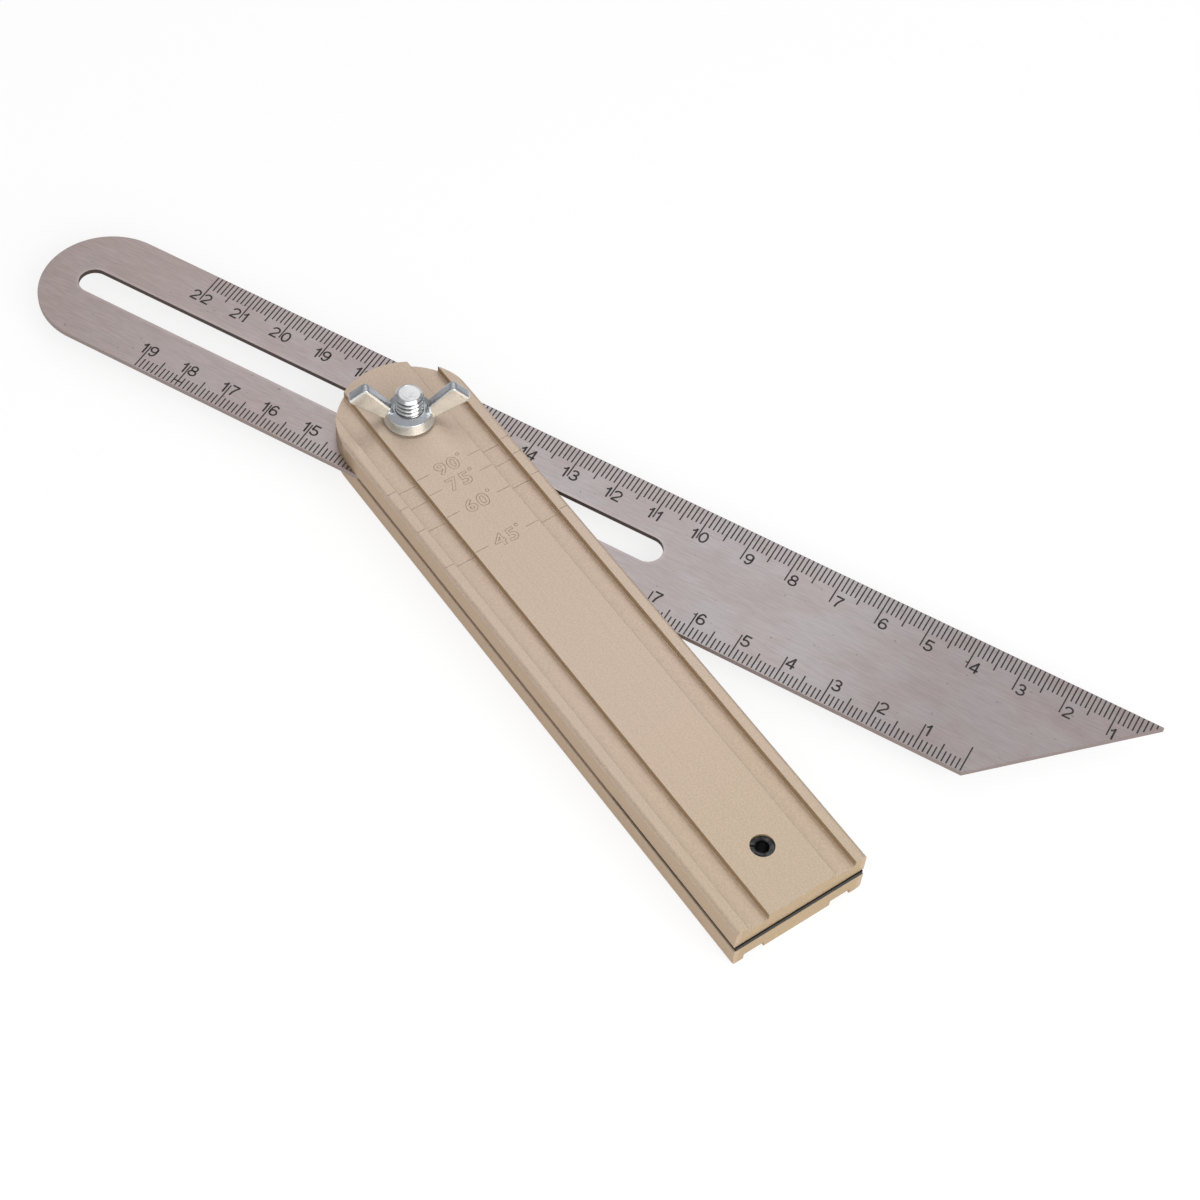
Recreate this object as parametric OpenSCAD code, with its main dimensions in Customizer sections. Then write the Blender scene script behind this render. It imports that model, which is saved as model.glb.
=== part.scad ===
// Adjustable set square: a graduated steel blade with a long slot, clamped by a
// keyed bolt and a wing nut between the two halves of an aluminium handle.
// The origin is on the pivot axis, at the handle's underside. +X runs along the
// blade to its pointed end, +Y to its upper edge, +Z up to the wing nut.

/* [Blade] */
// Length from the pointed corner to the round end
blade_length = 252.5; // [220:0.5:300]
// Width across the two graduated edges
blade_width = 30; // [26:0.5:36]
// Thickness of the sheet
blade_thickness = 1.2; // [1:0.1:1.5]
// Angle of the pointed end to the upper edge
tip_angle = 45; // [40:1:60]
// Radius that breaks the sharp corner of the point
tip_radius = 0.2; // [0.1:0.05:1.5]
// Width of the slot that the bolt slides in
slot_width = 6.5; // [6.4:0.1:8]
// Distance from the round end to the nearest point of the slot
slot_end_margin = 7.9; // [6:0.1:14]
// Whole length of the slot, end to end
slot_length = 141.2; // [110:0.1:150]
// Distance from the pointed corner to the pivot, along the upper edge
pivot_setting = 162.6; // [160:0.1:170]

/* [Handle] */
// Width of both halves
handle_width = 30; // [28:0.5:36]
// Distance from the pivot to the square end
handle_reach = 132.4; // [120:0.1:160]
// Thickness of one half over its raised strips and plateau
half_thickness = 5; // [4.6:0.1:7]
// Gap between the halves that the blade turns in
handle_gap = 1.3; // [1.25:0.05:1.8]
// Width of each raised strip along the edges
strip_width = 2.6; // [2:0.1:4]
// Width of each sunk channel beside the plateau
channel_width = 4.7; // [3:0.1:6]
// Depth of the channels below the strips
channel_depth = 1.5; // [0.8:0.1:2]
// Rounding of the outer long edges
edge_radius = 0.9; // [0.3:0.1:1.5]
// Rounding at the foot of each channel wall
foot_radius = 0.3; // [0.2:0.1:0.6]
// Angle between the handle and the blade's pointed arm
setting_angle = 25.65; // [25:0.05:90]

/* [Spacer and pin] */
// Length of the spacer plate from the square end
spacer_length = 38.8; // [25:0.1:40]
// Step from the handle's sides in to the plate's edges
spacer_inset = 0.3; // [0.2:0.1:1]
// Distance from the square end to the spring pin
pin_margin = 12.5; // [8:0.5:20]
// Outer diameter of the spring pin
pin_diameter = 4.8; // [4:0.1:6]
// Wall of the rolled pin
pin_wall = 1; // [0.8:0.1:1.2]
// Width of the slit down the pin
pin_slit = 0.4; // [0.3:0.1:1]
// Depth of each pin end below the handle's face
pin_sink = 0.5; // [0.3:0.1:1]

/* [Clamp bolt] */
// Thread diameter of the bolt
thread_diameter = 6; // [5:0.5:6]
// Diameter of the bolt's flush head
head_diameter = 12; // [11:0.5:13]
// Thickness of the bolt's head
head_thickness = 2.4; // [2:0.1:2.8]
// Diameter of the shoulder that turns in the lower half
shoulder_diameter = 8; // [7:0.5:9]
// Length of thread above the wing nut
thread_rise = 4.7; // [3:0.1:7]
// Chamfer at the end of the thread
thread_chamfer = 0.7; // [0.4:0.1:1]

/* [Wing nut] */
// Diameter of the boss at its base
boss_diameter = 10.2; // [10:0.1:13]
// Diameter of the boss at its top
boss_top_diameter = 8.6; // [8:0.1:9]
// Height of the boss
boss_height = 3.2; // [3:0.1:5]
// Distance between the tips of the wings
wing_span = 24.8; // [22:0.2:30]
// Height of the wing tips above the handle
wing_tip_height = 6.6; // [6:0.1:8]
// Height of the wings' highest corners above the handle
wing_height = 10.1; // [9:0.1:12]
// Thickness of each wing
wing_thickness = 2.4; // [2:0.1:3.4]
// Bevel round the faces of each wing
wing_bevel = 0.5; // [0.3:0.1:0.8]
// Direction of the wings, from the blade's length
wing_direction = 34; // [0:0.5:90]

/* [Fits] */
// Running clearance on a radius
running_clearance = 0.05; // [0.03:0.01:0.08]
// Clearance of the bolt's flats in the slot, on each side
flat_clearance = 0.1; // [0.05:0.01:0.15]
// Clearance round the bolt's head
head_clearance = 0.2; // [0.1:0.05:0.3]
// Clearance of the spring pin in its holes, on a radius
pin_clearance = 0.02; // [0.01:0.01:0.05]

/* [Hidden] */
$fn = 96;
// How far a cut runs past the faces that it cuts
overrun = 1;
// Heights, from the underside up
gap_floor = half_thickness;
gap_roof = gap_floor + handle_gap;
handle_top = gap_roof + half_thickness;
blade_floor = gap_floor + (handle_gap - blade_thickness) / 2;
// Half widths
half_handle = handle_width / 2;
half_blade = blade_width / 2;
half_slot = slot_width / 2;
channel_edge = half_handle - strip_width;
plateau_edge = channel_edge - channel_width;
// Blade ends and slot, from the pivot
blade_tip = pivot_setting;
blade_end = pivot_setting - blade_length;
slot_low = blade_end + slot_end_margin + half_slot;
slot_high = slot_low + slot_length - slot_width;
tip_run = blade_width / tan(tip_angle);
// Bolt
flat_width = slot_width - 2 * flat_clearance;
bolt_top = handle_top + boss_height + thread_rise;
thread_core = thread_diameter - 2 * thread_chamfer;
pin_x = handle_reach - pin_margin;
pin_bore = pin_diameter + 2 * pin_clearance;
// Wing corners, as shares of the wing's reach and height
wing_top_share = 0.7;
wing_foot_share = 0.14;
wing_root_share = 0.85;

// Turns its children from the handle's own length to the handle's setting.
module at_setting() {
    rotate([0, 0, -setting_angle]) children();
}

// What a square corner loses to a rounding; the corner is at the origin.
module corner_loss(radius) {
    difference() {
        square(radius);
        translate([radius, radius]) circle(radius);
    }
}

// What a rounding adds in a corner whose two walls lie on the axes.
module foot_fill(radius) {
    difference() {
        square(radius);
        translate([radius, radius]) circle(radius);
    }
}

// One sunk channel, open upwards, between the plateau and a strip.
module channel_cut() {
    difference() {
        translate([plateau_edge, half_thickness - channel_depth])
            square([channel_width, channel_depth + overrun]);
        translate([plateau_edge, half_thickness - channel_depth]) foot_fill(foot_radius);
        translate([channel_edge, half_thickness - channel_depth])
            mirror([1, 0]) foot_fill(foot_radius);
    }
}

// Section of a half: flat at the blade's side, two channels on the outside.
module half_section() {
    difference() {
        translate([-half_handle, 0]) square([handle_width, half_thickness]);
        for (side = [0, 1]) mirror([side, 0]) {
            channel_cut();
            translate([half_handle, half_thickness]) rotate(180) corner_loss(edge_radius);
        }
    }
}

// Plan of the handle: a round head on the pivot and a square end.
module handle_plan() {
    circle(half_handle);
    translate([0, -half_handle]) square([handle_reach, handle_width]);
}

// One half lying on its blade side, without its bores.
module half_blank() {
    intersection() {
        translate([-half_handle - overrun, 0, 0]) rotate([90, 0, 90])
            linear_extrude(handle_reach + half_handle + 2 * overrun) half_section();
        linear_extrude(half_thickness) handle_plan();
    }
}

module pin_hole() {
    translate([pin_x, 0, -overrun])
        cylinder(d = pin_bore, h = handle_top + 2 * overrun);
}

module handle_lower_half() {
    color("tan") at_setting() difference() {
        translate([0, 0, gap_floor]) mirror([0, 0, 1]) half_blank();
        translate([0, 0, -overrun])
            cylinder(d = head_diameter + 2 * head_clearance, h = head_thickness + overrun);
        translate([0, 0, -overrun])
            cylinder(d = shoulder_diameter + 2 * running_clearance, h = gap_roof + overrun);
        pin_hole();
    }
}

module handle_upper_half() {
    color("tan") at_setting() difference() {
        translate([0, 0, gap_roof]) half_blank();
        translate([0, 0, gap_floor])
            cylinder(d = thread_diameter + 2 * running_clearance, h = handle_top);
        pin_hole();
    }
}

module spacer_plate() {
    color("dimgray") at_setting() difference() {
        translate([handle_reach - spacer_length, -half_handle + spacer_inset, gap_floor])
            cube([spacer_length, handle_width - 2 * spacer_inset, handle_gap]);
        pin_hole();
    }
}

module spring_pin() {
    color("black") at_setting() translate([pin_x, 0, pin_sink]) difference() {
        pin_length = handle_top - 2 * pin_sink;
        cylinder(d = pin_diameter, h = pin_length);
        translate([0, 0, -overrun])
            cylinder(d = pin_diameter - 2 * pin_wall, h = pin_length + 2 * overrun);
        translate([-pin_diameter, -pin_slit / 2, -overrun])
            cube([pin_diameter, pin_slit, pin_length + 2 * overrun]);
    }
}

// Plan of the blade: a pointed end, a round end and the slot between.
module blade_plan() {
    difference() {
        union() {
            translate([blade_end + half_blade, 0]) circle(half_blade);
            polygon([[blade_end + half_blade, -half_blade], [blade_tip - tip_run, -half_blade],
                [blade_tip, half_blade], [blade_end + half_blade, half_blade]]);
        }
        translate([slot_low, -half_slot]) square([slot_high - slot_low, slot_width]);
        translate([slot_low, 0]) circle(half_slot);
        translate([slot_high, 0]) circle(half_slot);
        tip_loss();
    }
}

// The sliver that the point loses to its rounding.
module tip_loss() {
    reach = tip_radius / tan(tip_angle / 2);
    difference() {
        polygon([[blade_tip - reach, half_blade],
            [blade_tip - reach * cos(tip_angle), half_blade - reach * sin(tip_angle)],
            [blade_tip + overrun, half_blade - reach * sin(tip_angle)],
            [blade_tip + overrun, half_blade + overrun],
            [blade_tip - reach, half_blade + overrun]]);
        translate([blade_tip - reach, half_blade - tip_radius]) circle(tip_radius);
        polygon([[blade_tip - reach, half_blade], [blade_tip - reach, half_blade - tip_radius],
            [blade_tip - reach * cos(tip_angle), half_blade - reach * sin(tip_angle)]]);
    }
}

module blade() {
    color("silver") translate([0, 0, blade_floor])
        linear_extrude(blade_thickness) blade_plan();
}

// The bolt: flush head, round shoulder, two flats in the slot, thread and chamfer.
module clamp_bolt() {
    color("gainsboro") {
        cylinder(d = head_diameter, h = head_thickness);
        translate([0, 0, head_thickness])
            cylinder(d = shoulder_diameter, h = gap_floor - head_thickness);
        translate([0, 0, gap_floor]) intersection() {
            cylinder(d = shoulder_diameter, h = handle_gap - running_clearance);
            translate([-shoulder_diameter, -flat_width / 2, 0])
                cube([2 * shoulder_diameter, flat_width, handle_gap]);
        }
        translate([0, 0, gap_floor])
            cylinder(d = thread_diameter, h = bolt_top - thread_chamfer - gap_floor);
        translate([0, 0, bolt_top - thread_chamfer])
            cylinder(d1 = thread_diameter, d2 = thread_core, h = thread_chamfer);
    }
}

// Side view of one wing, from the nut's axis out.
module wing_outline() {
    reach = wing_span / 2;
    root = boss_top_diameter / 2 * wing_root_share;
    polygon([[root, wing_foot_share * boss_height], [boss_diameter / 2, wing_foot_share * boss_height],
        [reach, wing_tip_height], [reach * wing_top_share, wing_height], [root, boss_height]]);
}

// One wing, bevelled all round.
module wing() {
    rotate([90, 0, 0]) hull() {
        linear_extrude(wing_thickness - 2 * wing_bevel, center = true) wing_outline();
        linear_extrude(wing_thickness, center = true) offset(delta = -wing_bevel) wing_outline();
    }
}

module wing_nut() {
    color("gainsboro") translate([0, 0, handle_top]) rotate([0, 0, wing_direction])
        difference() {
            union() {
                cylinder(d1 = boss_diameter, d2 = boss_top_diameter, h = boss_height);
                wing();
                rotate([0, 0, 180]) wing();
            }
            translate([0, 0, -overrun])
                cylinder(d = thread_diameter + 2 * running_clearance, h = wing_height + 2 * overrun);
        }
}

handle_lower_half();
handle_upper_half();
spacer_plate();
spring_pin();
blade();
clamp_bolt();
wing_nut();
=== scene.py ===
"""Looks of the adjustable set square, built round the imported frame.

The row frame has its origin on the pivot axis at the handle's underside, with +X
along the blade to its point, +Y to the blade's upper edge and +Z up to the wing nut.
Sizes are in metres.
"""

import logging
import math
from contextlib import contextmanager
from dataclasses import dataclass
from enum import Enum
from typing import Any, Callable, Iterator, Sequence

import bmesh
import bpy
from mathutils import Matrix, Vector


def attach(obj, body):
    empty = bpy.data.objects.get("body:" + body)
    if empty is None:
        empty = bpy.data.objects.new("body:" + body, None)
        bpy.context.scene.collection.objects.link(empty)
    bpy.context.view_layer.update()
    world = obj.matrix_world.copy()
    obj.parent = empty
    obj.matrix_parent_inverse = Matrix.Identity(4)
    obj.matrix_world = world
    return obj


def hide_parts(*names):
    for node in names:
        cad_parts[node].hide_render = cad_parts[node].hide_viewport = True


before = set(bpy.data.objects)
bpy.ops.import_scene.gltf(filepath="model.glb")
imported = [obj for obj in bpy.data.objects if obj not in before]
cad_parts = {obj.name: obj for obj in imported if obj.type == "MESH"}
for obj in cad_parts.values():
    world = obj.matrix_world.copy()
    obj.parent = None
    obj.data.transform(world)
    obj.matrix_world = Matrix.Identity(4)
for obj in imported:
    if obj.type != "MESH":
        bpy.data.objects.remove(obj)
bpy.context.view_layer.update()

MM = 0.001
NEAR = 0.01 * MM
SPARE = 1 * MM

logging.basicConfig(level=logging.INFO, format="%(levelname)s %(message)s")
log = logging.getLogger("set_square")

Point = tuple[float, float, float]
Colour = tuple[float, float, float]


class Pick(Enum):
    """What edit mode selects."""

    POINTS = "VERT"
    EDGES = "EDGE"
    FACES = "FACE"


class Body(Enum):
    """The bodies that the pieces move with."""

    HANDLE = "handle"
    BOLT = "bolt"
    BLADE = "blade"
    WING_NUT = "wing_nut"


class Signal:
    """A number that changes over a surface, written as Python arithmetic."""

    def __init__(self, graph: "Graph", socket: bpy.types.NodeSocket) -> None:
        """Wraps a socket.

        Args:
            graph: The node tree that the socket is in.
            socket: The output that carries the number.
        """
        self.graph = graph
        self.socket = socket

    def __add__(self, other: Any) -> "Signal":
        """Adds a number or signal."""
        return self.graph.calculate("ADD", self, other)

    def __sub__(self, other: Any) -> "Signal":
        """Takes a number or signal away."""
        return self.graph.calculate("SUBTRACT", self, other)

    def __rsub__(self, other: Any) -> "Signal":
        """Takes this signal away from a number."""
        return self.graph.calculate("SUBTRACT", other, self)

    def __mul__(self, other: Any) -> "Signal":
        """Multiplies by a number or signal."""
        return self.graph.calculate("MULTIPLY", self, other)

    __radd__ = __add__
    __rmul__ = __mul__

    def size(self) -> "Signal":
        """Gives the value without its sign."""
        return self.graph.calculate("ABSOLUTE", self)

    def at_least(self, other: Any) -> "Signal":
        """Gives the larger of this and another value."""
        return self.graph.calculate("MAXIMUM", self, other)

    def root(self) -> "Signal":
        """Gives the square root."""
        return self.graph.calculate("SQRT", self)

    def rise(self, low: float, high: float) -> "Signal":
        """Gives 0 below low, 1 above high and a smooth rise between.

        Args:
            low: The value where the rise starts.
            high: The value where the rise ends.

        Returns:
            The signal from 0 to 1.
        """
        ends = {"From Min": low, "From Max": high}
        settings = {"interpolation_type": "SMOOTHSTEP"}
        step = self.graph.node("ShaderNodeMapRange", settings, {"Value": self, **ends})
        return Signal(self.graph, step.outputs["Result"])


class Graph:
    """The nodes of one material."""

    def __init__(self, name: str) -> None:
        """Starts a material with only its output.

        Args:
            name: The material's name.
        """
        self.material = bpy.data.materials.new(name)
        self.material.use_nodes = True
        self.tree = self.material.node_tree
        self.tree.nodes.clear()
        self.output = self.tree.nodes.new("ShaderNodeOutputMaterial")

    def node(self, kind: str, settings: dict[str, Any], inputs: dict[Any, Any]) -> bpy.types.Node:
        """Adds a node, sets its options and fills its sockets.

        Args:
            kind: The node's type.
            settings: The node's own options, set first.
            inputs: A value, socket or signal for each socket, by name or number.

        Returns:
            The new node.
        """
        made = self.tree.nodes.new(kind)
        for option, value in settings.items():
            setattr(made, option, value)
        for place, value in inputs.items():
            if isinstance(value, Signal):
                self.tree.links.new(value.socket, made.inputs[place])
            elif isinstance(value, bpy.types.NodeSocket):
                self.tree.links.new(value, made.inputs[place])
            else:
                made.inputs[place].default_value = value
        return made

    def calculate(self, operation: str, *values: Any) -> Signal:
        """Adds a Math node.

        Args:
            operation: The node's operation.
            values: Its one or two numbers or signals.

        Returns:
            The result.
        """
        made = self.node("ShaderNodeMath", {"operation": operation}, dict(enumerate(values)))
        return Signal(self, made.outputs[0])

    def place(self, turn: float = 0.0, stretch: Point = (1, 1, 1)) -> bpy.types.NodeSocket:
        """Gives the object coordinates, turned about Z and stretched.

        Args:
            turn: The turn in degrees.
            stretch: The scale on each axis.

        Returns:
            The vector's socket.
        """
        source = self.node("ShaderNodeTexCoord", {}, {})
        turned = self.node(
            "ShaderNodeMapping",
            {},
            {"Vector": source.outputs["Object"], "Rotation": (0, 0, math.radians(turn))},
        )
        made = self.node(
            "ShaderNodeMapping", {}, {"Vector": turned.outputs["Vector"], "Scale": stretch}
        )
        return made.outputs["Vector"]

    def axes(self, turn: float = 0.0) -> tuple[Signal, Signal, Signal]:
        """Gives the three object coordinates as signals.

        Args:
            turn: The turn about Z in degrees.

        Returns:
            X, Y and Z in metres.
        """
        made = self.node("ShaderNodeSeparateXYZ", {}, {"Vector": self.place(turn)})
        return tuple(Signal(self, made.outputs[axis]) for axis in "XYZ")

    def cloud(self, stretch: Point, turn: float = 0.0, detail: float = 2.0) -> Signal:
        """Gives noise between 0 and 1.

        Args:
            stretch: The noise cells in a metre, on each axis.
            turn: The turn about Z in degrees.
            detail: The noise's detail.

        Returns:
            The noise.
        """
        made = self.node(
            "ShaderNodeTexNoise",
            {},
            {"Vector": self.place(turn, stretch), "Scale": 1.0, "Detail": detail},
        )
        return Signal(self, made.outputs["Fac"])

    def blend(self, share: Any, first: Any, second: Any) -> bpy.types.NodeSocket:
        """Mixes two colours.

        Args:
            share: How much of the second colour shows.
            first: A colour or its socket.
            second: A colour or its socket.

        Returns:
            The mixed colour's socket.
        """
        inputs = {0: share, 6: self.opaque(first), 7: self.opaque(second)}
        made = self.node("ShaderNodeMix", {"data_type": "RGBA"}, inputs)
        return made.outputs[2]

    def tone(self, colour: Any, share: Signal) -> bpy.types.NodeSocket:
        """Makes a colour lighter or darker from place to place.

        Args:
            colour: A colour or its socket.
            share: What the colour is multiplied by.

        Returns:
            The toned colour's socket.
        """
        inputs = {0: colour, "Scale": share}
        made = self.node("ShaderNodeVectorMath", {"operation": "SCALE"}, inputs)
        return made.outputs["Vector"]

    def wall(self, low: float = 0.25, high: float = 0.6) -> Signal:
        """Gives 1 on upright faces and 0 on level ones.

        Args:
            low: The upward part of the normal where the fall starts.
            high: The upward part of the normal where it ends.

        Returns:
            The signal from 0 to 1.
        """
        normal = self.node("ShaderNodeNewGeometry", {}, {})
        split = self.node("ShaderNodeSeparateXYZ", {}, {"Vector": normal.outputs["True Normal"]})
        return 1 - Signal(self, split.outputs["Z"]).size().rise(low, high)

    def relief(self, height: Signal, strength: float, depth: float) -> bpy.types.NodeSocket:
        """Gives the normal of a bumpy surface.

        Args:
            height: The height from 0 to 1.
            strength: How strongly the bumps show.
            depth: The height of the bumps in metres.

        Returns:
            The normal's socket.
        """
        made = self.node(
            "ShaderNodeBump", {}, {"Height": height, "Strength": strength, "Distance": depth}
        )
        return made.outputs["Normal"]

    def finish(self, inputs: dict[str, Any]) -> bpy.types.Material:
        """Ends the material in one Principled shader.

        Args:
            inputs: The values of the shader's sockets.

        Returns:
            The material.
        """
        shader = self.node("ShaderNodeBsdfPrincipled", {}, inputs)
        self.tree.links.new(shader.outputs["BSDF"], self.output.inputs["Surface"])
        return self.material

    @staticmethod
    def opaque(colour: Any) -> Any:
        """Gives a plain colour its fourth number and leaves a socket as it is."""
        return (*colour, 1.0) if isinstance(colour, tuple) else colour

    @staticmethod
    def shade(colour: Colour, share: float) -> Colour:
        """Gives a colour made lighter or darker by a share."""
        return tuple(min(1.0, part * share) for part in colour)


@dataclass(frozen=True)
class AnodisedSatin:
    """Champagne anodised aluminium with a blasted grain and faint drawing lines, and painted shade
    on its upright faces, along the channels' edges and towards the square end.
    """

    name: str
    turn: float
    top: float
    reach: float
    channel_edges: tuple[float, ...]
    colour: Colour = (0.61, 0.48, 0.38)
    # painted shade: the outer sides and the square end are darker and more orange than the top
    cut: Colour = (0.53, 0.385, 0.255)
    # painted shade: the channel walls are a darker brown than the top
    groove: Colour = (0.465, 0.335, 0.195)
    # painted shade: the colour of the dark lines along the channels' edges on the top face
    scratched: Colour = (0.36, 0.29, 0.23)
    worn: Colour = (0.50, 0.48, 0.46)
    # painted shade: the top's colour is multiplied by this at the square end
    end_tone: Colour = (0.96, 0.965, 0.91)
    roughness: float = 0.42
    speckle: float = 0.11
    metallic: float = 0.5
    grain_cells: float = 3000
    line_cells: Point = (25, 2600, 400)
    broad_cells: Point = (35, 60, 35)
    edge_line: float = 0.14 * MM
    edge_strength: float = 0.7
    chip_cells: float = 2100
    chip_rise: tuple[float, float] = (0.57, 0.63)
    chip_depth: tuple[float, float] = (0.28 * MM, 0.2 * MM)
    chip_drop: tuple[float, float] = (0.26 * MM, 0.18 * MM)
    wall_fall: tuple[float, float] = (0.12, 0.4)
    bump_strength: float = 0.3
    bump_depth: float = 0.025 * MM

    def edge_lines(self, graph: Graph) -> Signal:
        """Gives the painted shade lines along the channels' edges on the top face.

        Args:
            graph: The material's nodes.

        Returns:
            1 on the lines and 0 elsewhere.
        """
        _, across, height = graph.axes(self.turn)
        offs = [(across.size() - edge).size() for edge in self.channel_edges]
        lines = sum(1 - off.rise(0.5 * self.edge_line, self.edge_line) for off in offs)
        return lines * height.rise(self.top - 2 * self.edge_line, self.top - self.edge_line)

    def chips(self, graph: Graph) -> Signal:
        """Gives the small bare spots along the square end's upper edge.

        Args:
            graph: The material's nodes.

        Returns:
            1 on bare metal and 0 elsewhere.
        """
        along, _, height = graph.axes(self.turn)
        spots = graph.cloud((self.chip_cells,) * 3, self.turn, 2).rise(*self.chip_rise)
        end = along.rise(*(self.reach - depth for depth in self.chip_depth))
        return spots * end * height.rise(*(self.top - drop for drop in self.chip_drop))

    def material(self) -> bpy.types.Material:
        """Builds the material."""
        graph = Graph(self.name)
        grain = graph.cloud((self.grain_cells,) * 3, self.turn, 2)
        lines = graph.cloud(self.line_cells, self.turn, 2)
        broad = graph.cloud(self.broad_cells, self.turn, 2)
        along, across, _ = graph.axes(self.turn)
        edge = self.channel_edges[-1]
        outside = across.size().rise(edge + SPARE, edge + 2 * SPARE)
        share = (grain * 0.8 + lines * 0.12 + broad * 0.08).rise(0.25, 0.75)
        # painted shade on the upright faces, darker brown in the channels and darker orange outside
        # them
        walls = graph.blend(outside, self.groove, self.cut)
        # painted shade: the top darkens towards the square end
        far = tuple(part * tone for part, tone in zip(self.colour, self.end_tone))
        tops = graph.blend(along.rise(0.5 * self.reach, self.reach), self.colour, far)
        base = graph.blend(graph.wall(*self.wall_fall), tops, walls)
        # painted shade along the channels' edges
        base = graph.blend(self.edge_lines(graph) * self.edge_strength, base, self.scratched)
        base = graph.blend(self.chips(graph), base, self.worn)
        colour = graph.tone(base, 1 - self.speckle + share * (2 * self.speckle))
        height = grain * 0.8 + lines * 0.2
        return graph.finish(
            {
                "Base Color": colour,
                "Metallic": self.metallic,
                "Roughness": self.roughness + (broad - 0.5) * 0.1 + (grain - 0.5) * 0.08,
                "Normal": graph.relief(height, self.bump_strength, self.bump_depth),
            }
        )


@dataclass(frozen=True)
class BrushedBlade:
    """Stainless sheet brushed along its length, paler in a band along the slot's edge, with a
    painted highlight across its middle and painted shade at its heel, its point and its upright
    faces.
    """

    name: str
    slot_low: float
    slot_high: float
    slot_radius: float
    colour: Colour = (0.455, 0.385, 0.378)
    # a paler grey for the random cloudy tone and for the painted highlight across the middle
    cool: Colour = (0.475, 0.44, 0.445)
    # painted shade: a darker, pinker colour towards the heel
    warm: Colour = (0.455, 0.368, 0.35)
    # the dark specks, and painted shade on the slot's walls
    edge: Colour = (0.115, 0.085, 0.075)
    rim: Colour = (0.37, 0.30, 0.28)
    roughness: float = 0.36
    speckle: float = 0.15
    # painted shade: how much darker the point is
    point_tone: float = 0.17
    band: float = 0.9 * MM
    # painted highlight across the middle: where it is brightest and over what distance it fades
    middle_at: float = 70 * MM
    middle_fall: tuple[float, float] = (10 * MM, 90 * MM)
    heel_rise: tuple[float, float] = (-85 * MM, -20 * MM)
    point_rise: tuple[float, float] = (85 * MM, 125 * MM)
    streak_cells: Point = (330, 4200, 900)
    wide_cells: Point = (60, 520, 60)
    wide_turn: float = 1.5
    cloud_cells: Point = (90, 120, 90)
    speck_cells: Point = (900, 1300, 900)
    speck_strength: float = 0.45
    heel_strength: float = 0.6
    band_strength: float = 0.3
    band_light: float = 1.4
    bump_strength: float = 0.1
    bump_depth: float = 0.02 * MM

    def slot_distance(self, graph: Graph) -> Signal:
        """Gives the distance from the slot's edge.

        Args:
            graph: The material's nodes.

        Returns:
            The distance in metres, from the slot's wall out.
        """
        along, across, _ = graph.axes()
        middle = (self.slot_low + self.slot_high) / 2
        half = (self.slot_high - self.slot_low) / 2
        past = ((along - middle).size() - half).at_least(0.0)
        return (past * past + across * across).root() - self.slot_radius

    def material(self) -> bpy.types.Material:
        """Builds the material."""
        graph = Graph(self.name)
        along, across, _ = graph.axes()
        streaks = graph.cloud(self.streak_cells, 0, 3)
        wide = graph.cloud(self.wide_cells, self.wide_turn, 2)
        cloudy = graph.cloud(self.cloud_cells, 0, 3)
        specks = graph.cloud(self.speck_cells, 0, 1).rise(0.74, 0.80)
        share = (streaks * 0.62 + wide * 0.14 + cloudy * 0.24).rise(0.28, 0.72)
        # painted highlight: the sheet turns paler and greyer across its middle; the cloudy part is
        # a random tone
        middle = 1 - (along - self.middle_at).size().rise(*self.middle_fall)
        brushed = graph.blend(cloudy.rise(0.4, 0.62) * 0.5 + middle * 0.4, self.colour, self.cool)
        # painted shade: darker and pinker towards the heel, darker towards the point
        heel = 1 - along.rise(*self.heel_rise)
        brushed = graph.blend(heel * self.heel_strength, brushed, self.warm)
        brushed = graph.tone(brushed, 1 - along.rise(*self.point_rise) * self.point_tone)
        distance = self.slot_distance(graph)
        band = 1 - distance.rise(0.25 * self.band, self.band)
        # a paler band along the slot's edge
        pale_band = Graph.shade(self.colour, self.band_light)
        brushed = graph.blend(band * self.band_strength, brushed, pale_band)
        brushed = graph.tone(brushed, 1 - self.speckle + share * (2 * self.speckle))
        brushed = graph.blend(specks * self.speck_strength, brushed, self.edge)
        # painted shade on the upright faces: darkest on the slot's walls, the lighter rim colour on
        # the outer edges
        wall = graph.wall()
        edges = graph.blend(distance.rise(0.5 * self.band, 2 * self.band), self.edge, self.rim)
        colour = graph.blend(wall, brushed, edges)
        rough = self.roughness + (streaks - 0.5) * 0.2 + (cloudy - 0.5) * 0.16 + wall * 0.15
        return graph.finish(
            {
                "Base Color": colour,
                "Metallic": 1.0,
                "Roughness": rough,
                "Normal": graph.relief(streaks, self.bump_strength, self.bump_depth),
            }
        )


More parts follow.
